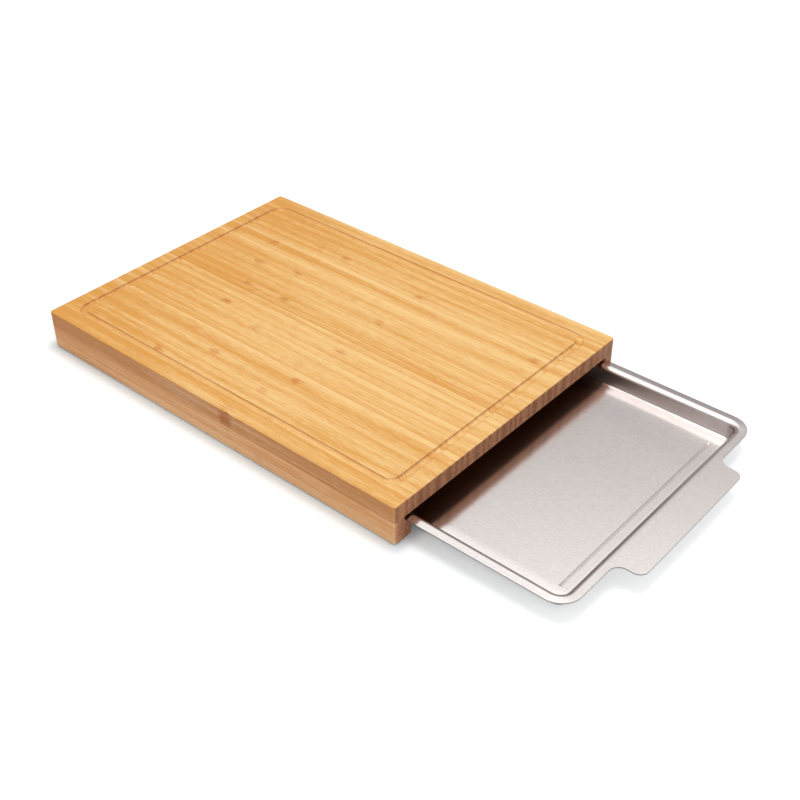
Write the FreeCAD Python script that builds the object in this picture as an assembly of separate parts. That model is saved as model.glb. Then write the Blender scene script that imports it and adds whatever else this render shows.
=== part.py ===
"""Bamboo cutting board on two side rails, with a steel tray that slides under it from each end.

The origin is on the table at the middle of the board. X runs along the board towards the right end,
Y towards the back and Z up. The board is a slab of bamboo strips glued edge to edge. Each side rail is
two glued layers, and the upper one has a rebate that the trays' flanges slide in. A cross rail in the
middle stops both trays. The right tray is pulled out and the left one is pushed in.
"""

import FreeCAD, Part
import math
import os

V = FreeCAD.Vector

# Board, in millimetres.
board_length = 400.0
board_width = 286.0
slab_thickness = 14.4
corner_radius = 3.0
top_edge_radius = 1.0
bottom_edge_radius = 2.0

# Strips that the slab is glued from. The two edge strips make up the width that is left.
inner_strip_width = 6.755
least_edge_strip = 6.0

# Juice groove, a shallow round-bottomed channel near the slab's edge.
groove_inset = 18.2
groove_width = 7.0
groove_depth = 2.0
groove_corner_radius = 11.5

# Side rails and the rebate that the trays slide in.
rail_width = 17.5
lower_rail_height = 9.7
upper_rail_height = 11.9
rebate_height = 3.6
rebate_depth = 6.9

# Cross rail between the two trays.
stop_width = 16.0

# Tray.
sheet_thickness = 0.8
flange_width = 5.7
bend_radius = 4.7
wall_lean_angle = 12.0
foot_radius = 1.6
floor_corner_radius = 4.8
panel_rise = 1.2
panel_step = 2.0
crown_width = 14.0
bead_inset = 23.7
bead_width = 2.4
bead_bottom = 0.4
bead_reach = 102.8
tab_length = 21.6
tab_width = 143.6
tab_root_radius = 9.0
tab_corner_radius = 8.0

# Running clearances.
side_clearance = 0.6
flange_clearance = 0.2
stop_clearance = 0.5
table_clearance = 4.2

# How far the right tray is pulled out.
pull_out = 140.5

# Levels and half sizes that follow.
half_length = board_length / 2
half_width = board_width / 2
upper_rail_top = lower_rail_height + upper_rail_height
board_top = upper_rail_top + slab_thickness
rail_inner = half_width - rail_width
ledge_level = upper_rail_top - rebate_height
rebate_back = rail_inner + rebate_depth
flange_bottom = ledge_level + flange_clearance
flange_top = flange_bottom + sheet_thickness
tray_half_width = rebate_back - side_clearance
tray_length = half_length - stop_width / 2 - stop_clearance
floor_bottom = table_clearance
floor_top = floor_bottom + sheet_thickness

# The leaning wall between its bend and its foot, and how far in from the flange's edge the floor starts.
# The floor's panel starts there too, and its crown is an arc. The beads' middles are bead_x from the tray's.
lean = math.radians(wall_lean_angle)
wall_radii = bend_radius + foot_radius
wall_length = (flange_top - floor_top - wall_radii * (1 - math.sin(lean))) / math.cos(lean)
floor_inset = flange_width + wall_radii * math.cos(lean) + wall_length * math.sin(lean)
flange_corner_radius = floor_inset + floor_corner_radius
crown_radius = (crown_width ** 2 + panel_rise ** 2) / (2 * panel_rise)
bead_x = tray_length / 2 - bead_inset

# How many inner strips there are, and how wide that leaves each edge strip.
inner_strip_count = int((board_width - 2 * least_edge_strip) // inner_strip_width)
edge_strip_width = (board_width - inner_strip_count * inner_strip_width) / 2

# Points closer than this are one place.
same_place = 0.001


def box(low, high):
    """A box between two opposite corners."""
    return Part.makeBox(high.x - low.x, high.y - low.y, high.z - low.z, low)


def rounded_outline(half_x, half_y, radius, level):
    """A wire round a rectangle about the origin, its corners rounded, at the height level."""
    inner_x = half_x - radius
    inner_y = half_y - radius
    diagonal = radius * 0.5 ** 0.5
    edges = []
    for turn, sign_x, sign_y in ((0, 1, 1), (1, -1, 1), (2, -1, -1), (3, 1, -1)):
        centre = V(sign_x * inner_x, sign_y * inner_y, level)
        along_x = centre + V(sign_x * radius, 0, 0)
        along_y = centre + V(0, sign_y * radius, 0)
        middle = centre + V(sign_x * diagonal, sign_y * diagonal, 0)
        first, last = (along_x, along_y) if turn % 2 == 0 else (along_y, along_x)
        if edges:
            edges.append(Part.makeLine(edges[-1].lastVertex(True).Point, first))
        edges.append(Part.Arc(first, middle, last).toShape())
    edges.append(Part.makeLine(edges[-1].lastVertex(True).Point, edges[0].firstVertex(True).Point))
    return Part.Wire(edges)


def rounded_block(half_x, half_y, radius, low, high):
    """A block with rounded upright corners between two heights."""
    face = Part.Face(rounded_outline(half_x, half_y, radius, low))
    return face.extrude(V(0, 0, high - low))


def edges_at(shape, level):
    """The edges of a shape that lie wholly at one height."""
    found = []
    for edge in shape.Edges:
        bounds = edge.BoundBox
        if abs(bounds.ZMin - level) < same_place and abs(bounds.ZMax - level) < same_place:
            found.append(edge)
    return found


def board_outline_block(low, high):
    """The board's outline between two heights, with rounded upright corners."""
    return rounded_block(half_length, half_width, corner_radius, low, high)


def juice_groove():
    """The ring that cuts the juice groove: a round bar whose axis runs above the board's top."""
    bar_radius = (groove_width ** 2 / 4 + groove_depth ** 2) / (2 * groove_depth)
    axis_level = board_top - groove_depth + bar_radius
    half_x = half_length - groove_inset
    half_y = half_width - groove_inset
    path = rounded_outline(half_x, half_y, groove_corner_radius, axis_level)
    start = V(half_x, half_y - groove_corner_radius, axis_level)
    profile = Part.Wire(Part.makeCircle(bar_radius, start, V(0, 1, 0)))
    return path.makePipeShell([profile], True, False)


def slab():
    """The whole slab before it is divided into strips."""
    block = board_outline_block(upper_rail_top, board_top)
    block = block.makeFillet(top_edge_radius, edges_at(block, board_top))
    return block.cut(juice_groove())


def slab_strips():
    """The strips that the slab is glued from, front to back."""
    whole = slab()
    widths = [edge_strip_width] + [inner_strip_width] * inner_strip_count + [edge_strip_width]
    strips = {}
    front = -half_width
    for number, width in enumerate(widths, 1):
        low = V(-half_length, front, upper_rail_top)
        high = V(half_length, front + width, board_top)
        strips[f"slab_strip_{number:02d}"] = whole.common(box(low, high))
        front += width
    return strips


def front_rails():
    """The two layers of the front rail, the upper one with its rebate."""
    outline = board_outline_block(0, upper_rail_top)
    outline = outline.makeFillet(bottom_edge_radius, edges_at(outline, 0))
    front = -half_width
    lower = outline.common(box(V(-half_length, front, 0), V(half_length, -rail_inner, lower_rail_height)))
    upper = outline.common(box(V(-half_length, front, lower_rail_height),
                               V(half_length, -rail_inner, upper_rail_top)))
    rebate = box(V(-half_length, -rebate_back, ledge_level), V(half_length, -rail_inner, upper_rail_top))
    return lower, upper.cut(rebate)


def turned(shape):
    """A copy turned half round about the Z axis."""
    copy = shape.copy()
    copy.rotate(V(0, 0, 0), V(0, 0, 1), 180)
    return copy


def edges_upright_at(shape, x, y):
    """The upright edges of a shape at one place in plan, and at its mirror image across the X axis."""
    found = []
    for edge in shape.Edges:
        bounds = edge.BoundBox
        distances = (bounds.XLength, bounds.YLength, abs(bounds.XMin - x), abs(abs(bounds.YMin) - y))
        if max(distances) < same_place:
            found.append(edge)
    return found


def pull_tab(half_x):
    """The pull tab, which runs on from the flange's flat at half_x."""
    low = V(half_x - flange_width, -tab_width / 2, flange_bottom)
    tab = box(low, V(half_x + tab_length, tab_width / 2, flange_top))
    return tab.makeFillet(tab_corner_radius, edges_upright_at(tab, half_x + tab_length, tab_width / 2))


def wall_section():
    """The sheet's section from the flange's outer edge to where the floor starts.

    The section lies in the XZ plane. X runs inwards from the flange's outer edge. The upper skin is a flat,
    a bend, a leaning wall and a round foot, and the lower skin is one sheet thickness below it.
    """
    towards_basin = V(math.cos(lean), 0, math.sin(lean))
    arc_middle = (towards_basin + V(0, 0, 1)).normalize()
    bend_centre = V(flange_width, 0, flange_top - bend_radius)
    foot_centre = V(floor_inset, 0, floor_top + foot_radius)

    def skin(depth):
        """The points of one skin and the middles of its two arcs, depth below the upper skin."""
        bend = bend_radius - depth
        foot = foot_radius + depth
        points = [V(0, 0, flange_top - depth), bend_centre + V(0, 0, bend)]
        points += [bend_centre + towards_basin * bend, foot_centre - towards_basin * foot]
        points += [foot_centre - V(0, 0, foot)]
        return points, bend_centre + arc_middle * bend, foot_centre - arc_middle * foot

    upper, upper_bend, upper_foot = skin(0)
    lower, lower_bend, lower_foot = skin(sheet_thickness)
    edges = [
        Part.makeLine(upper[0], upper[1]),
        Part.Arc(upper[1], upper_bend, upper[2]).toShape(),
        Part.makeLine(upper[2], upper[3]),
        Part.Arc(upper[3], upper_foot, upper[4]).toShape(),
        Part.makeLine(upper[4], lower[4]),
        Part.Arc(lower[4], lower_foot, lower[3]).toShape(),
        Part.makeLine(lower[3], lower[2]),
        Part.Arc(lower[2], lower_bend, lower[1]).toShape(),
        Part.makeLine(lower[1], lower[0]),
        Part.makeLine(lower[0], upper[0]),
    ]
    return Part.Face(Part.Wire(edges))


def rim(half_x, half_y):
    """The flange and walls all round: the section carried along four sides and turned at four corners."""
    section = wall_section()
    pieces = []
    for quarter in range(4):
        along, across = (half_x, half_y) if quarter % 2 else (half_y, half_x)
        run = along - flange_corner_radius
        side = section.copy()
        side.rotate(V(0, 0, 0), V(0, 0, 1), 180)
        side.translate(V(across, -run, 0))
        corner = side.copy()
        corner.translate(V(0, 2 * run, 0))
        corner_axis = V(across - flange_corner_radius, run, 0)
        for piece in (side.extrude(V(0, 2 * run, 0)), corner.revolve(corner_axis, V(0, 0, 1), 90)):
            piece.rotate(V(0, 0, 0), V(0, 0, 1), 90 * quarter)
            pieces.append(piece)
    return pieces[0].multiFuse(pieces[1:])


def panel_form(half_x, half_y, level):
    """The form that a skin of the floor's panel is pressed to, up from one level.

    Across the tray it is flat and falls away along each side in an arc that is tangent to the flat.
    At each end it slopes down in a short step.
    """
    top = level + panel_rise
    side = half_y - floor_inset
    flat = side - crown_width
    end = half_x - floor_inset
    half_turn = math.asin(crown_width / crown_radius) / 2
    fall = crown_radius * (1 - math.cos(half_turn))
    middle = flat + crown_radius * math.sin(half_turn)
    crown = Part.Wire([
        Part.makeLine(V(-end, -side, level), V(-end, side, level)),
        Part.Arc(V(-end, side, level), V(-end, middle, top - fall), V(-end, flat, top)).toShape(),
        Part.makeLine(V(-end, flat, top), V(-end, -flat, top)),
        Part.Arc(V(-end, -flat, top), V(-end, -middle, top - fall), V(-end, -side, level)).toShape(),
    ])
    corners = [V(-end, -side, level), V(end, -side, level), V(end - panel_step, -side, top),
               V(-end + panel_step, -side, top), V(-end, -side, level)]
    slopes = Part.Face(Part.makePolygon(corners)).extrude(V(0, 2 * side, 0))
    return Part.Face(crown).extrude(V(2 * end, 0, 0)).common(slopes)


def bead_form(x, level):
    """The trough of a stiffening bead across the floor, from the panel's top down to one level."""
    top = level + panel_rise
    corners = [V(x - bead_width / 2, -bead_reach, top), V(x + bead_width / 2, -bead_reach, top),
               V(x + bead_bottom / 2, -bead_reach, level), V(x - bead_bottom / 2, -bead_reach, level),
               V(x - bead_width / 2, -bead_reach, top)]
    trough = Part.Face(Part.makePolygon(corners)).extrude(V(0, 2 * bead_reach, 0))
    ends = [Part.makeCone(bead_bottom / 2, bead_width / 2, panel_rise, V(x, y, level))
            for y in (-bead_reach, bead_reach)]
    return trough.multiFuse(ends)


def tray_floor(half_x, half_y):
    """The floor inside the foot of the walls, its panel pressed up and its two beads pressed down."""
    sheet = rounded_block(half_x - floor_inset, half_y - floor_inset, floor_corner_radius,
                          floor_bottom, floor_top)
    raised, hollow = [panel_form(half_x, half_y, level).cut([bead_form(x, level) for x in (-bead_x, bead_x)])
                      for level in (floor_top, floor_bottom)]
    return sheet.fuse(raised).cut(hollow)


def tray_sheet():
    """A tray with its middle on the Z axis and its pull tab towards +X."""
    half_x = tray_length / 2
    half_y = tray_half_width
    tray = rim(half_x, half_y).multiFuse([tray_floor(half_x, half_y), pull_tab(half_x)]).removeSplitter()
    return tray.makeFillet(tab_root_radius, edges_upright_at(tray, half_x, tab_width / 2))


def moved(shape, x):
    """A copy moved along the X axis."""
    copy = shape.copy()
    copy.translate(V(x, 0, 0))
    return copy


def centre_stop():
    """The cross rail between the side rails, from the table up to the slab."""
    return box(V(-stop_width / 2, -rail_inner, 0), V(stop_width / 2, rail_inner, upper_rail_top))


def all_parts():
    """Every piece by name, where it lies when the right tray is pulled out."""
    parts = slab_strips()
    lower, upper = front_rails()
    parts["front_rail_lower"] = lower
    parts["front_rail_upper"] = upper
    parts["back_rail_lower"] = turned(lower)
    parts["back_rail_upper"] = turned(upper)
    parts["centre_stop"] = centre_stop()
    tray = tray_sheet()
    pushed_in = stop_width / 2 + stop_clearance + tray_length / 2
    parts["right_tray"] = moved(tray, pushed_in + pull_out)
    parts["left_tray"] = turned(moved(tray, pushed_in))
    return parts


os.makedirs("parts", exist_ok=True)
for name, shape in all_parts().items():
    shape.exportStep(f"parts/{name}.step")
    print(name, shape.isValid(), len(shape.Solids), round(shape.Volume, 2))
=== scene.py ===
import math

import bmesh
import bpy
import numpy as np
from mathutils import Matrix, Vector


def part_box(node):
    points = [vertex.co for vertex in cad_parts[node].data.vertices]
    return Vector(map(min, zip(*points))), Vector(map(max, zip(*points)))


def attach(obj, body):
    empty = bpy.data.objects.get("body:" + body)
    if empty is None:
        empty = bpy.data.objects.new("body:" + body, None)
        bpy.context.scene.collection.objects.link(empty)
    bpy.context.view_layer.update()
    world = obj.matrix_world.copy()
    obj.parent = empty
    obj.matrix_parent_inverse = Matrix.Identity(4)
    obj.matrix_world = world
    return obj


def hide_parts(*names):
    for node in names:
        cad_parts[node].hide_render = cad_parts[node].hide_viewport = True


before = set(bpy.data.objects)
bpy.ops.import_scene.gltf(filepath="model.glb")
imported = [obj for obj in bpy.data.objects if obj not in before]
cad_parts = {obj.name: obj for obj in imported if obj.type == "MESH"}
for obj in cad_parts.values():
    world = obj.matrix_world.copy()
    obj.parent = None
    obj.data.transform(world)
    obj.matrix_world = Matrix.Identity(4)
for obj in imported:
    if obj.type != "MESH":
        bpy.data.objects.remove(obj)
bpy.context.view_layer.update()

# ---------------------------------------------------------------------------
# Camera
# It stands in front of the open tray's corner, about 0.6 m above the table, and looks down on
# the board. From there the board's top, front and right end all show.
# ---------------------------------------------------------------------------
camera = bpy.data.objects.new("camera", bpy.data.cameras.new("camera"))
bpy.context.scene.collection.objects.link(camera)
camera.location = (0.63008, -0.63823, 0.62187)
camera.rotation_euler = [math.radians(angle) for angle in (53.2667, 0.1005, 40.5683)]
camera.data.sensor_width = 36.0
camera.data.lens = 55.696
bpy.context.scene.camera = camera
bpy.context.scene.view_settings.view_transform = "Standard"

# ---------------------------------------------------------------------------
# Table
# A white table top that runs on to the horizon, so that it is also the backdrop.
# It takes the part's soft shadow and shows as plain white elsewhere.
# ---------------------------------------------------------------------------
table_reach = 12.0
table_level = -0.0002
lighting_white = (0.82, 0.86, 0.89)
seen_white = (0.935, 0.98, 1.0)
foot_shadow_white = (0.85, 0.945, 1.0)
# Near the board's foot the glow is weaker and the paint cooler: a painted contact shadow, tinted
# against the bamboo's warm bounce light.
painted_shadow_width = 0.013
painted_foot_shadow = 0.18
# The glow that grows with the distance from the board is painted light, which lightens the trays'
# shadows.
glow_at_board = 0.22
glow_per_metre = 1.5
glow_growth_ends = 0.5
glow_in_metal = 0.10


def new_material(name):
    """An empty node material and its output node."""
    material = bpy.data.materials.new(name)
    material.use_nodes = True
    material.node_tree.nodes.clear()
    return material, material.node_tree.nodes.new("ShaderNodeOutputMaterial")


def add_node(tree, kind, inputs=None, **settings):
    """A node with its settings made, and each input either given a value or linked to an output."""
    node = tree.nodes.new("ShaderNode" + kind)
    for key, value in settings.items():
        setattr(node, key, value)
    for key, value in (inputs or {}).items():
        if isinstance(value, bpy.types.NodeSocket):
            tree.links.new(value, node.inputs[key])
        else:
            node.inputs[key].default_value = value
    return node


def maths(tree, operation, first, second=None, third=None, clamp=False):
    """The result of one sum on sockets or numbers."""
    inputs = {place: value for place, value in enumerate((first, second, third))
              if value is not None}
    return add_node(tree, "Math", inputs, operation=operation, use_clamp=clamp).outputs[0]


def mixed(tree, amount, first, second, blend="MIX"):
    """Two colours, mixed by an amount."""
    node = add_node(tree, "Mix", {0: amount}, data_type="RGBA", blend_type=blend)
    for place, value in ((6, first), (7, second)):
        if isinstance(value, bpy.types.NodeSocket):
            tree.links.new(value, node.inputs[place])
        else:
            node.inputs[place].default_value = (*value, 1)
    return node.outputs[2]


def smooth_step(tree, value, low, high):
    """0 below low, 1 above high and an S curve between. Low may be the greater."""
    return add_node(tree, "MapRange", {"Value": value, "From Min": low, "From Max": high},
                    interpolation_type="SMOOTHSTEP").outputs[0]


def seen_in_metal(tree):
    """1 for a ray that metal or glass sends to the camera, 0 for one that lights a matt surface."""
    path = add_node(tree, "LightPath").outputs
    shiny = maths(tree, "MAXIMUM", path["Is Glossy Ray"], path["Is Transmission Ray"])
    return maths(tree, "LESS_THAN", path["Diffuse Depth"], maths(tree, "MULTIPLY", shiny, 0.5))


def distance_from_board(tree):
    """How far a point of the table lies outside the board's rectangle."""
    position = add_node(tree, "TexCoord").outputs["Object"]
    x, y, _ = add_node(tree, "SeparateXYZ", {0: position}).outputs
    half_x, half_y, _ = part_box("back_rail_lower")[1]
    past_x = maths(tree, "SUBTRACT", maths(tree, "ABSOLUTE", x), half_x)
    past_y = maths(tree, "SUBTRACT", maths(tree, "ABSOLUTE", y), half_y)
    past = add_node(tree, "CombineXYZ", {0: maths(tree, "MAXIMUM", past_x, 0.0),
                                         1: maths(tree, "MAXIMUM", past_y, 0.0)}).outputs[0]
    return add_node(tree, "VectorMath", {0: past}, operation="LENGTH").outputs["Value"]


def table_paint():
    """White paint, whiter and glowing a little in direct views, so the lit table is plain white.

    The glow grows with the distance from the board: painted light, which lightens the trays'
    shadows away from the foot. Right at the board's foot it is weak, a painted contact shadow, and
    the paint is cooler there, painted against the warm light that the bamboo throws there.
    """
    material, output = new_material("table_white")
    tree = material.node_tree
    camera_ray = add_node(tree, "LightPath").outputs["Is Camera Ray"]
    distance = distance_from_board(tree)
    # Painted contact shadow: 1 at the board's foot, fading out over the shadow's width.
    foot = smooth_step(tree, distance, painted_shadow_width, 0.0)
    direct_white = mixed(tree, foot, seen_white, foot_shadow_white)
    whiteness = mixed(tree, camera_ray, lighting_white, direct_white)
    paint = add_node(tree, "BsdfDiffuse", {"Color": whiteness})
    growth = maths(tree, "MINIMUM", distance, glow_growth_ends)
    seen_glow = maths(tree, "MULTIPLY_ADD", growth, glow_per_metre, glow_at_board)
    seen_glow = maths(tree, "MULTIPLY_ADD", foot, -painted_foot_shadow, seen_glow)
    level = maths(tree, "MULTIPLY", camera_ray, seen_glow)
    level = maths(tree, "MULTIPLY_ADD", seen_in_metal(tree), glow_in_metal, level)
    glow = add_node(tree, "Emission", {"Color": (1, 1, 1, 1), "Strength": level})
    both = add_node(tree, "AddShader", {0: paint.outputs[0], 1: glow.outputs[0]})
    tree.links.new(both.outputs[0], output.inputs["Surface"])
    return material


def mesh_object(name, points, faces):
    """A new object with that mesh, at the origin."""
    mesh = bpy.data.meshes.new(name)
    mesh.from_pydata(np.asarray(points).tolist(), [], np.asarray(faces).tolist())
    mesh.update()
    made = bpy.data.objects.new(name, mesh)
    bpy.context.scene.collection.objects.link(made)
    return made


table_corners = [(table_reach * along, table_reach * across, table_level)
                 for along, across in ((-1, -1), (1, -1), (1, 1), (-1, 1))]
table = mesh_object("table", table_corners, [(0, 1, 2, 3)])
table.data.materials.append(table_paint())

# ---------------------------------------------------------------------------
# Studio light
# A pale room, with a soft lamp right above the board and a weak one low in front of it to the
# right. The room that metal reflects is grey low down and white overhead.
# ---------------------------------------------------------------------------
room_level = 0.60
room_level_in_gloss = 0.05
room_tint = (1.0, 0.985, 0.97, 1)
# What metal reflects, by height: 0 is straight down, 0.5 the horizon and 1 straight up.
bands = ((0.0, 0.21), (0.30, 0.28), (0.55, 0.30), (0.59, 0.405),
         (0.64, 0.535), (0.69, 0.97), (0.75, 1.04), (1.0, 1.0))


def studio_room(tree):
    """The room's light: white for the camera, one level for matt surfaces and a faint one in gloss.

    For metal it is the bands by height, brighter in front of the board and darker to its right.
    """
    direction = add_node(tree, "TexCoord").outputs["Generated"]
    side, depth, height = add_node(tree, "SeparateXYZ", {0: direction}).outputs
    ramp = add_node(tree, "ValToRGB", {0: height})
    stops = ramp.color_ramp.elements
    for place, level in bands[1:-1]:
        stops.new(place)
    for stop, (place, level) in zip(stops, bands):
        stop.position = place
        stop.color = (level, level * (0.935 + 0.065 * level), level * (0.915 + 0.085 * level), 1)
    glossy = add_node(tree, "LightPath").outputs["Is Glossy Ray"]
    level = maths(tree, "MULTIPLY_ADD", glossy, room_level_in_gloss - room_level, room_level)
    matt = add_node(tree, "Background", {"Color": room_tint, "Strength": level})
    front = maths(tree, "MULTIPLY", depth, -2.5, clamp=True)
    right = maths(tree, "MULTIPLY", side, 3.0, clamp=True)
    strength = maths(tree, "MULTIPLY_ADD", right, -0.65, 1.10)
    strength = maths(tree, "MULTIPLY_ADD", front, 0.4, strength)
    shown = add_node(tree, "Background", {"Color": ramp.outputs["Color"], "Strength": strength})
    white = add_node(tree, "Background", {"Color": (1, 1, 1, 1), "Strength": 1.0})
    reflected = add_node(tree, "MixShader", {0: seen_in_metal(tree), 1: matt.outputs[0],
                                             2: shown.outputs[0]})
    camera_ray = add_node(tree, "LightPath").outputs["Is Camera Ray"]
    seen = add_node(tree, "MixShader", {0: camera_ray, 1: reflected.outputs[0],
                                        2: white.outputs[0]})
    output = add_node(tree, "OutputWorld")
    tree.links.new(seen.outputs[0], output.inputs["Surface"])


world = bpy.data.worlds.new("studio")
world.use_nodes = True
world.node_tree.nodes.clear()
studio_room(world.node_tree)
bpy.context.scene.world = world


def soft_lamp(name, place, aim, width, energy, tint):
    """A square lamp at one place, turned towards another."""
    data = bpy.data.lights.new(name, "AREA")
    data.shape = "SQUARE"
    data.size = width
    data.energy = energy
    data.color = tint
    lamp = bpy.data.objects.new(name, data)
    bpy.context.scene.collection.objects.link(lamp)
    lamp.location = place
    toward = np.subtract(aim, place)
    tilt = math.atan2(math.hypot(toward[0], toward[1]), -toward[2])
    lamp.rotation_euler = (tilt, 0, math.atan2(toward[1], toward[0]) - math.pi / 2)


soft_lamp("top_lamp", (0.05, 0.10, 2.2), (0.05, 0, 0), 1.0, 17.0, (1.0, 0.985, 0.96))
soft_lamp("fill_lamp", (1.1, -1.7, 0.95), (0.1, 0, 0), 1.0, 4.0, (1.0, 0.99, 0.98))

# ---------------------------------------------------------------------------
# Slab
# Forty-two bamboo strips on edge, glued face to face and planed flat, with the juice groove
# routed in them. Each strip keeps the fibres, the tone and the knuckles of the cane that it was
# sawn from.
# ---------------------------------------------------------------------------
strip_count = 42
dark_strips = {2, 4, 9, 21, 23, 28, 32, 36, 39}
pale_strips = {11, 13, 15, 19, 20, 24, 25, 30, 31, 33}
# X of the knuckles that show clearly, by the strip's number from the front.
clear_knuckles = {1: (0.021, 0.026), 4: (-0.083,), 6: (0.027,), 8: (-0.043,), 10: (0.039,),
                  15: (-0.041,), 17: (-0.093,), 18: (0.037,), 22: (-0.102, -0.056), 26: (0.034,),
                  27: (-0.120,), 28: (-0.079,), 32: (0.169, -0.135), 34: (0.034,), 35: (-0.062,),
                  39: (-0.133,)}
knuckle_reach = 0.0085
knuckle_core = 0.002
knuckle_bow = 0.0025
knuckle_raggedness = 0.012
healed_offset = 0.006
healed_strength = 0.3
glue_line_reach = 0.00045
joint_levels = [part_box(layer)[1][2] for layer in ("front_rail_lower", "front_rail_upper")]
joint_reach = 0.0005
joint_core = 0.0001
joint_strength = 0.45
slab_side_factor = (0.73, 0.655, 0.85)
# The underside, which the lamps don't reach, is darkened by this factor: painted shade.
painted_under_shade = (0.20, 0.12, 0.07)
bamboo_ior = 1.45
bamboo_gloss = 0.35


def painted(red, green, blue):
    """The linear colour of a paint chip whose screen values are red, green and blue out of 255."""
    screen = np.array((red, green, blue)) / 255
    return tuple(np.where(screen > 0.04045, ((screen + 0.055) / 1.055) ** 2.4, screen / 12.92))


def centred(tree, value, strength, base, clamp=False):
    """A base plus a strength times how far a value lies from a half."""
    return maths(tree, "MULTIPLY_ADD", maths(tree, "SUBTRACT", value, 0.5), strength, base, clamp)


def distance_to(tree, value, place):
    """How far a value lies from a place."""
    return maths(tree, "ABSOLUTE", maths(tree, "SUBTRACT", value, place))


def stretched_noise(tree, position, scale, offset, detail=2.0, roughness=0.5):
    """Noise about 0.5. scale gives its waves a metre along each axis, and offset moves it."""
    placed = add_node(tree, "Mapping", {"Vector": position, "Location": offset, "Scale": scale})
    return add_node(tree, "TexNoise", {"Vector": placed.outputs[0], "Scale": 1.0, "Detail": detail,
                                       "Roughness": roughness}).outputs["Fac"]


def knuckle_mask(tree, position, across, along, phase):
    """Where a cane's knuckle crosses a strip: a lens at one place along X, broken into fibres.

    The lens fades by the distance from that place, plus a bow times the square of across, which is
    0 in the middle of the strip and 1 at its edges, plus noise that makes it ragged.
    """
    x = add_node(tree, "SeparateXYZ", {0: position}).outputs["X"]
    away = distance_to(tree, x, along)
    away = maths(tree, "MULTIPLY_ADD", maths(tree, "MULTIPLY", across, across), knuckle_bow, away)
    ragged = stretched_noise(tree, position, (90, 700, 700), (phase, 3.1, 0.7), 1.0)
    away = centred(tree, ragged, knuckle_raggedness, away)
    lens = smooth_step(tree, away, knuckle_reach, knuckle_core)
    fibres = stretched_noise(tree, position, (70, 1100, 1100), (phase, 8, 0), 1.0)
    fibres = smooth_step(tree, fibres, 0.40, 0.62)
    return maths(tree, "MULTIPLY", lens, maths(tree, "MULTIPLY_ADD", fibres, 0.85, 0.15))


def with_knuckles(tree, colour, position, upright, edges, knuckles, phase, pale):
    """The fibres' colour with the cane's knuckles, each with a paler healed patch beside it.

    knuckles are sets of X, strength on level faces and strength on upright ones.
    """
    y = add_node(tree, "SeparateXYZ", {0: position}).outputs["Y"]
    middle = (edges[0] + edges[1]) / 2
    across = maths(tree, "DIVIDE", maths(tree, "SUBTRACT", y, middle), edges[1] - middle)
    for along, on_level, on_upright in knuckles:
        knuckle = knuckle_mask(tree, position, across, along, phase)
        strength = maths(tree, "MULTIPLY_ADD", upright, on_upright - on_level, on_level)
        colour = mixed(tree, maths(tree, "MULTIPLY", knuckle, strength), colour, knuckle_brown)
        healed = knuckle_mask(tree, position, across, along + healed_offset, phase + 5)
        colour = mixed(tree, maths(tree, "MULTIPLY", healed, healed_strength), colour, pale)
    return colour


def with_glue_lines(tree, colour, position, edges, strength):
    """The colour with thin glue lines along a strip's edges and at the top of each rail layer."""
    _, y, z = add_node(tree, "SeparateXYZ", {0: position}).outputs
    for edge in edges:
        line = smooth_step(tree, distance_to(tree, y, edge), glue_line_reach, 0.0)
        colour = mixed(tree, maths(tree, "MULTIPLY", line, strength), colour, knuckle_brown)
    for level in joint_levels:
        line = smooth_step(tree, distance_to(tree, z, level), joint_reach, joint_core)
        line = maths(tree, "MULTIPLY", line, joint_strength)
        colour = mixed(tree, line, colour, knuckle_brown)
    return colour


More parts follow.
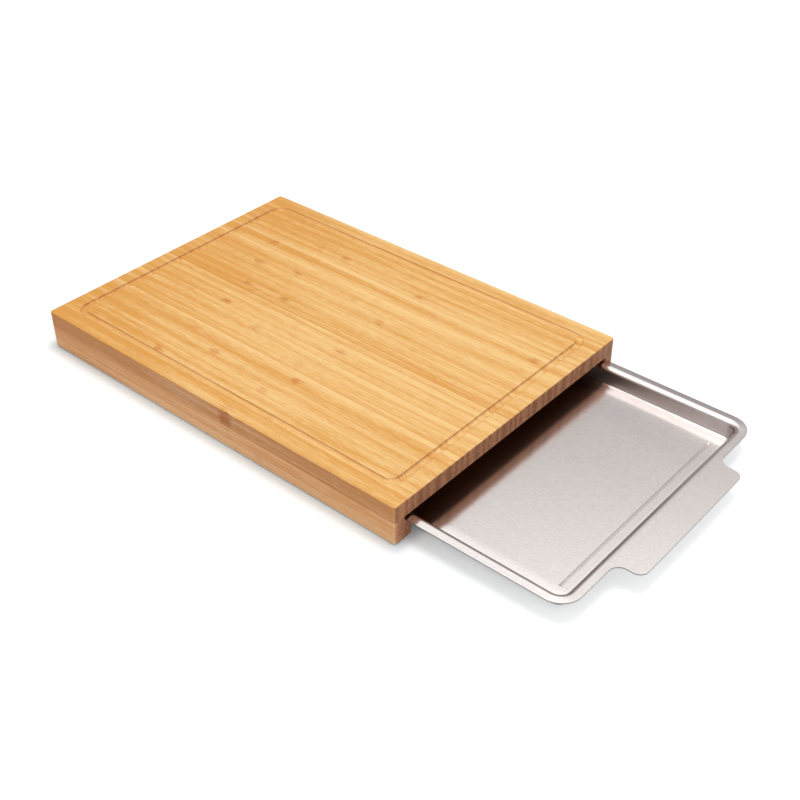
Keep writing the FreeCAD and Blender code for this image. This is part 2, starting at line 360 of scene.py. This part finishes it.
def bamboo(name, tone, phase, edges, glue, knuckles, shades, side_factor):
    """Bamboo with its fibres along X, oiled.

    tone is 0 for a pale strip and 1 for a dark one, within the two shades. edges are the two Y
    values between which the wood darkens towards the cane's outer skin, and glue is how dark the
    lines there are. The wood is painted deeper towards the board's left end, a painted shade for
    the weaker sheen there, and its ends show cut fibres. side_factor multiplies the colour on
    upright faces, where the streaks are stronger, and a painted shade factor does so on the
    underside.
    """
    material, output = new_material(name)
    tree = material.node_tree
    coordinates = add_node(tree, "TexCoord")
    position = coordinates.outputs["Object"]
    x, y, _ = add_node(tree, "SeparateXYZ", {0: position}).outputs
    normal = add_node(tree, "SeparateXYZ", {0: coordinates.outputs["Normal"]})
    normal_x, normal_y, normal_z = normal.outputs
    upright = smooth_step(tree, maths(tree, "ABSOLUTE", normal_y), 0.45, 0.95)
    under = smooth_step(tree, normal_z, -0.5, -0.95)
    ends = smooth_step(tree, maths(tree, "ABSOLUTE", normal_x), 0.45, 0.95)
    # Painted shade: deeper towards the left end, in place of the weaker sheen there.
    painted_left_shade = smooth_step(tree, x, 0.0, -0.20)
    skin = smooth_step(tree, y, edges[0], edges[1])
    broad = stretched_noise(tree, position, (5, 330, 330), (phase, 0, phase), 2.0, 0.6)
    fine = stretched_noise(tree, position, (11, 1000, 1000), (phase * 3, 1, 0), 3.0, 0.8)
    dashes = stretched_noise(tree, position, (120, 1100, 1100), (phase, 6, 2), 1.0)
    slow = stretched_noise(tree, position, (9, 60, 60), (phase * 7, 2, 0), 1.0)
    depth = centred(tree, broad, maths(tree, "MULTIPLY_ADD", upright, 1.7, 0.6), tone)
    depth = centred(tree, fine, maths(tree, "MULTIPLY_ADD", upright, 2.2, 2.1), depth)
    depth = centred(tree, dashes, 1.1, depth)
    depth = centred(tree, slow, 0.8, depth)
    depth = maths(tree, "MULTIPLY_ADD", painted_left_shade, 0.45, depth)
    depth = centred(tree, skin, 0.35, depth, clamp=True)
    colour = mixed(tree, depth, *shades)
    colour = with_knuckles(tree, colour, position, upright, edges, knuckles, phase, shades[0])
    colour = with_glue_lines(tree, colour, position, edges, glue)
    # Painted shade on the underside.
    colour = mixed(tree, under, colour, mixed(tree, 1.0, colour, painted_under_shade, "MULTIPLY"))
    colour = mixed(tree, upright, colour, mixed(tree, 1.0, colour, side_factor, "MULTIPLY"))
    dots = stretched_noise(tree, position, (60, 1300, 1100), (phase, 5, 0), 1.0)
    cut = maths(tree, "MULTIPLY_ADD", skin, 0.5, maths(tree, "MULTIPLY", dots, 0.75))
    cut = centred(tree, broad, 1.2, cut, clamp=True)
    colour = mixed(tree, ends, colour, mixed(tree, cut, *end_shades))
    roughness = maths(tree, "MULTIPLY_ADD", fine, 0.16, 0.40)
    relief = add_node(tree, "Bump", {"Height": fine, "Strength": 0.12, "Distance": 0.0002})
    shader = add_node(tree, "BsdfPrincipled", {"Base Color": colour, "Roughness": roughness,
                                               "Normal": relief.outputs[0]})
    shader.inputs["IOR"].default_value = bamboo_ior
    shader.inputs["Specular IOR Level"].default_value = bamboo_gloss
    tree.links.new(shader.outputs[0], output.inputs["Surface"])
    return material


slab_shades = painted(255, 212, 143), painted(232, 166, 80)
end_shades = painted(222, 156, 112), painted(154, 98, 66)
knuckle_brown = painted(204, 118, 40)
chance = np.random.default_rng(42)
for number in range(1, strip_count + 1):
    strip_name = f"slab_strip_{number:02d}"
    low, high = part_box(strip_name)
    tone = 0.43 + 0.19 * chance.uniform(-1, 1)
    tone += 0.18 * ((number in dark_strips) - (number in pale_strips))
    turned = chance.random() < 0.5 or number == 21
    edges = (high[1], low[1]) if turned else (low[1], high[1])
    on_level = 0.3 if number == 1 else 0.85
    knuckles = [(along, on_level, 3.0) for along in clear_knuckles.get(number, ())]
    knuckles.append((chance.uniform(-0.19, 0.19), chance.uniform(0.05, 0.3), 0.1))
    glue = chance.uniform(0.1, 0.6) + 0.5 * (number in (20, 21))
    strip_bamboo = bamboo(f"bamboo_strip_{number:02d}", tone, number * 1.37, edges, glue, knuckles,
                          slab_shades, slab_side_factor)
    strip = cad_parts[strip_name]
    strip.data.materials.clear()
    strip.data.materials.append(strip_bamboo)

# ---------------------------------------------------------------------------
# Side rails and centre stop
# Each side rail is two bamboo layers glued one on the other, and the upper one has the rebate
# that the trays slide in. The stop is a cross rail between them, glued under the slab.
# ---------------------------------------------------------------------------
rail_shades = painted(254, 213, 160), painted(226, 166, 108)
rail_side_factor = (0.98, 0.96, 0.98)
rail_tones = {"front_rail_lower": 0.12, "front_rail_upper": 0.70, "back_rail_lower": 0.25,
              "back_rail_upper": 0.62, "centre_stop": 0.45}
for place, (name, tone) in enumerate(rail_tones.items()):
    low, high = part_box(name)
    knuckles = [(chance.uniform(-0.15, 0.15), 0.3, 0.3)]
    rail_bamboo = bamboo(f"bamboo_{name}", tone, 61.3 + 5.9 * place, (low[1], high[1]), 0.3,
                         knuckles, rail_shades, rail_side_factor)
    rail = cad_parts[name]
    rail.data.materials.clear()
    rail.data.materials.append(rail_bamboo)

# ---------------------------------------------------------------------------
# Trays
# Each tray is one sheet of brushed stainless steel, pressed into a basin with a flange all round.
# The flange runs on into the pull tab. The floor is pressed up a little, with a bead near each end.
# ---------------------------------------------------------------------------
sheet = 0.0008
half_length = 0.09575
half_width = 0.1318
flange_top = 0.0190
floor_top = 0.0050
flange_width = 0.0057
bend_radius = 0.0047
foot_radius = 0.0016
floor_corner_radius = 0.0048
wall_lean = math.radians(12)
both_radii = bend_radius + foot_radius
arcs_height = both_radii * (1 - math.sin(wall_lean))
wall_length = (flange_top - floor_top - arcs_height) / math.cos(wall_lean)
floor_inset = (flange_width + both_radii * math.cos(wall_lean)
               + wall_length * math.sin(wall_lean))
corner_radius = floor_inset + floor_corner_radius
panel_rise = 0.0012
end_slope = 0.002
crown_width = 0.014
bead_inset = 0.0237
bead_width = 0.0024
bead_bottom = 0.0004
bead_reach = 0.1028
flange_fall = 0.0004
tab_fall = 0.01
tab_reach = 0.0216
tab_half_width = 0.0718
root_radius = 0.009
tip_radius = 0.008
tab_inner = 0.060
tab_lines = 25
flange_shares = (0.0, 0.15, 0.5, 0.93)
edge_rounding = 0.00015
rim_margin = 0.0001
steel_shades = (0.785, 0.730, 0.711), (0.925, 0.861, 0.838)
# The cut edge's dark colours are partly the duller sheared steel and partly painted shade for what
# the thin edge reflects.
cut_edge_and_shade_colours = (0.10, 0.09, 0.085), (0.26, 0.24, 0.23)


def wall_profile(depth):
    """The sheet's section, depth below its upper skin, as rows of inset and height.

    The inset is from the flange's edge. The bend is an arc from the flat flange to the leaning
    wall, and the foot is the opposite arc, back to level. The floor is level from the foot to the
    middle of the corners.
    """
    bend = np.linspace(0, math.pi / 2 - wall_lean, 9)
    foot = np.linspace(math.pi / 2 - wall_lean, 0, 7)
    bend_arc = np.stack([flange_width + (bend_radius - depth) * np.sin(bend),
                         flange_top - bend_radius + (bend_radius - depth) * np.cos(bend)], 1)
    foot_arc = np.stack([floor_inset - (foot_radius + depth) * np.sin(foot),
                         floor_top + foot_radius - (foot_radius + depth) * np.cos(foot)], 1)
    inwards = np.linspace(floor_inset, corner_radius, 12)[1:]
    level = np.stack([inwards, np.full_like(inwards, floor_top - depth)], 1)
    return np.concatenate([bend_arc, foot_arc, level])


def panel_height(x, y):
    """How far the floor stands above its foot.

    It is an S-shaped slope at each end, times a parabola over the crown at each side, less the
    beads. A bead is an S-shaped slope of the distance from a line across the floor, so its lips
    and its ends are round.
    """
    along = np.clip((half_length - floor_inset - np.abs(x)) / end_slope, 0, 1)
    across = np.clip((half_width - floor_inset - np.abs(y)) / crown_width, 0, 1)
    panel = panel_rise * along * along * (3 - 2 * along) * (1 - (1 - across) ** 2)
    from_line = np.hypot(np.abs(x) - half_length + bead_inset,
                         np.clip(np.abs(y) - bead_reach, 0, None))
    inside = np.clip((bead_width / 2 - from_line) / (bead_width / 2 - bead_bottom / 2), 0, 1)
    return panel - panel_rise * inside * inside * (3 - 2 * inside)


def stations():
    """Places along X and Y of the tray's grid lines, close together where the form changes."""
    end_x = half_length - corner_radius
    bead_x = half_length - bead_inset
    around = bead_width * 0.8
    along_x = np.concatenate([np.linspace(end_x, bead_x + around, 3)[:-1],
                              bead_x + around * np.linspace(1, -1, 25),
                              np.linspace(bead_x - around, 0, 10)[1:]])
    end_y = half_width - corner_radius
    bead_end = bead_reach + around
    root_y = tab_half_width + root_radius
    along_y = np.concatenate([np.linspace(end_y, bead_end, 12)[:-1],
                              np.linspace(bead_end, bead_reach, 11)[:-1],
                              np.linspace(bead_reach, root_y, 6)[:-1],
                              np.linspace(root_y, tab_inner, tab_lines),
                              np.linspace(tab_inner, 0, 9)[1:]])
    return [np.concatenate([-half, half[-2::-1]]) for half in (along_x, along_y)]


def tab_outline(across):
    """How far out the flange's edge runs at each Y across, and that point's own Y.

    The tab's edge goes out round the root, along the side and round the tip. Its points are shared
    out over the grid lines from the root's start to the tab's inner line.
    """
    root = np.linspace(0, math.pi / 2, 10)
    root_arc = np.stack([root_radius * (1 - np.cos(root)),
                         tab_half_width + root_radius * (1 - np.sin(root))], 1)
    side = np.stack([np.linspace(root_radius, tab_reach - tip_radius, 4)[1:-1],
                     np.full(2, tab_half_width)], 1)
    tip = np.linspace(0, math.pi / 2, 13)
    tip_arc = np.stack([tab_reach - tip_radius * (1 - np.sin(tip)),
                        tab_half_width - tip_radius * (1 - np.cos(tip))], 1)
    turn = np.concatenate([root_arc, side, tip_arc])
    first = tab_half_width + root_radius
    places = np.linspace(first, tab_inner, tab_lines)
    size = np.abs(across)
    reach = np.interp(size, places[::-1], turn[::-1, 0])
    spread = np.interp(size, np.concatenate([[0], places[::-1]]),
                       np.concatenate([[0], turn[::-1, 1]]))
    outside = size > first + 1e-9
    return np.where(outside, 0, reach), np.where(outside, size, spread) * np.sign(across)


def tray_mesh(name):
    """A tray about the origin, its tab towards +X, as one closed skin.

    A ring at an inset is the point of a rectangle's outline plus (corner radius - inset) times the
    way outwards, which turns through a right angle at each corner. The wall profile is a set of
    rings. The flange's rings lie at shares of the way from the outer edge, with its tab, to the
    bend. Along the two long sides the flange falls a little outwards, by the square of the way's Y.
    The floor is a grid that fills the innermost ring, and the lower skin is a second set one sheet
    thickness down.
    """
    x_lines, y_lines = stations()
    turn = np.linspace(0, math.pi / 2, 11)[1:-1]
    core, way = [], []
    for quarter in range(4):
        angle = quarter * math.pi / 2
        lines, reach = (x_lines, y_lines[-1]) if quarter % 2 else (y_lines, x_lines[-1])
        side = np.stack([np.full_like(lines, reach), lines], 1)
        corner = np.tile((reach, lines[-1]), (len(turn), 1))
        normals = np.concatenate([np.zeros_like(lines), turn])
        local = np.concatenate([side, corner])
        spin = np.array([[math.cos(angle), math.sin(angle)], [-math.sin(angle), math.cos(angle)]])
        core.append(local @ spin)
        way.append(np.stack([np.cos(normals), np.sin(normals)], 1) @ spin)
    core, way = np.concatenate(core), np.concatenate(way)
    tab_side = slice(len(y_lines))
    outer = core + corner_radius * way
    tab_out, tab_across = tab_outline(y_lines)
    outer[tab_side, 0] += tab_out
    outer[tab_side, 1] = tab_across
    bend_line = core + (corner_radius - flange_width) * way
    side_lift = flange_fall * way[:, 1] ** 2
    rings = []
    for depth in (0.0, sheet):
        skin = []
        for share in flange_shares:
            flat = outer * (1 - share) + bend_line * share
            fall = tab_fall * np.maximum(np.abs(flat[:, 0]) - half_length, 0)
            skin.append(np.column_stack([flat, flange_top - depth + side_lift * share - fall]))
        for inset, height in wall_profile(depth):
            flat = core + (corner_radius - inset) * way
            raised = panel_height(*flat.T) if inset >= floor_inset - 1e-9 else 0.0
            lifted = side_lift * max(height + depth - floor_top, 0) / (flange_top - floor_top)
            skin.append(np.column_stack([flat, height + raised + lifted]))
        rings.append(skin)
    loop = rings[1][::-1] + rings[0]
    around = len(core)
    points = [np.concatenate(loop)]
    row, column = np.meshgrid(np.arange(len(loop) - 1), np.arange(around), indexing="ij")
    after = (column + 1) % around
    faces = [np.stack([row * around + column, row * around + after, (row + 1) * around + after,
                       (row + 1) * around + column], -1).reshape(-1, 4)]
    start = len(loop) * around
    grid_x, grid_y = np.meshgrid(x_lines, y_lines, indexing="ij")
    rows, columns = grid_x.shape
    for depth in (0.0, sheet):
        height = floor_top - depth + panel_height(grid_x, grid_y)
        points.append(np.stack([grid_x, grid_y, height], -1).reshape(-1, 3))
        i, j = np.meshgrid(np.arange(rows - 1), np.arange(columns - 1), indexing="ij")
        first = start + i * columns + j
        cell = [first, first + columns, first + columns + 1, first + 1]
        faces.append(np.stack(cell, -1).reshape(-1, 4))
        start += rows * columns
    made = mesh_object(name, np.concatenate(points), np.concatenate(faces))
    work = bmesh.new()
    work.from_mesh(made.data)
    bmesh.ops.remove_doubles(work, verts=work.verts, dist=1e-6)
    bmesh.ops.dissolve_degenerate(work, edges=work.edges, dist=1e-7)
    bmesh.ops.recalc_face_normals(work, faces=work.faces)
    work.to_mesh(made.data)
    work.free()
    return made


def brushed_steel():
    """Stainless steel brushed along X, with streaks in its roughness, its relief and its colour."""
    material, output = new_material("brushed_steel")
    tree = material.node_tree
    position = add_node(tree, "TexCoord").outputs["Object"]
    streaks = stretched_noise(tree, position, (90, 5200, 5200), (0, 0, 0), 2.0, 0.6)
    cloud = stretched_noise(tree, position, (14, 30, 30), (3, 1, 0), 2.0)
    grain = stretched_noise(tree, position, (300, 850, 850), (1, 7, 0), 3.0, 0.7)
    shade = centred(tree, grain, 2.0, streaks, clamp=True)
    colour = mixed(tree, shade, *steel_shades)
    roughness = centred(tree, streaks, 0.05, centred(tree, cloud, 0.04, 0.19))
    relief = add_node(tree, "Bump", {"Height": streaks, "Strength": 0.05, "Distance": 0.00003})
    direction = add_node(tree, "Tangent", direction_type="UV_MAP", uv_map="brushing")
    shader = add_node(tree, "BsdfPrincipled", {"Base Color": colour, "Roughness": roughness,
                                               "Normal": relief.outputs[0],
                                               "Tangent": direction.outputs[0]})
    shader.inputs["Metallic"].default_value = 1.0
    shader.inputs["Anisotropic"].default_value = 0.8
    tree.links.new(shader.outputs[0], output.inputs["Surface"])
    return material


def cut_edge_steel():
    """The sheet's sheared edge: duller, with fine marks across it, and dark partly as sheared steel
    is and partly as painted shade.
    """
    material, output = new_material("cut_edge_steel")
    tree = material.node_tree
    position = add_node(tree, "TexCoord").outputs["Object"]
    marks = stretched_noise(tree, position, (2200, 2200, 600), (0, 0, 4), 2.0)
    colour = mixed(tree, marks, *cut_edge_and_shade_colours)
    roughness = maths(tree, "MULTIPLY_ADD", marks, 0.2, 0.42)
    shader = add_node(tree, "BsdfPrincipled", {"Base Color": colour, "Roughness": roughness})
    shader.inputs["Metallic"].default_value = 1.0
    tree.links.new(shader.outputs[0], output.inputs["Surface"])
    return material


def read_rows(items, name):
    """A value of three parts, such as a place or a normal, of each item of a mesh, one row each."""
    values = np.empty(len(items) * 3, np.float32)
    items.foreach_get(name, values)
    return values.reshape(-1, 3)


steel = brushed_steel()
cut_edge = cut_edge_steel()
# X of each tray's middle at rest, and the way along X that its tab faces.
tray_places = {"right_tray": (0.24475, 1), "left_tray": (-0.10425, -1)}
for node, (middle, facing) in tray_places.items():
    tray = tray_mesh(node + "_sheet")
    points = read_rows(tray.data.vertices, "co") * (facing, facing, 1) + (middle, 0, 0)
    tray.data.vertices.foreach_set("co", points.astype(np.float32).ravel())
    tray.data.polygons.foreach_set("use_smooth", np.ones(len(tray.data.polygons), bool))
    tray.data.set_sharp_from_angle(angle=math.radians(50))
    corners = np.empty(len(tray.data.loops), np.int32)
    tray.data.loops.foreach_get("vertex_index", corners)
    brushing = tray.data.uv_layers.new(name="brushing")
    brushing.data.foreach_set("uv", points[corners][:, 1::-1].astype(np.float32).ravel())
    rounding = tray.modifiers.new("edge_rounding", "BEVEL")
    rounding.limit_method = "ANGLE"
    rounding.angle_limit = math.radians(60)
    rounding.width = edge_rounding
    rounding.segments = 2
    rounding.harden_normals = True
    tray.data.materials.append(steel)
    tray.data.materials.append(cut_edge)
    upright = np.abs(read_rows(tray.data.polygons, "normal")[:, 2]) < 0.3
    at_rim = read_rows(tray.data.polygons, "center")[:, 2] > flange_top - sheet - rim_margin
    tray.data.polygons.foreach_set("material_index", (upright & at_rim).astype(np.int32))
    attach(tray, node)
    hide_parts(node)

bpy.context.view_layer.update()
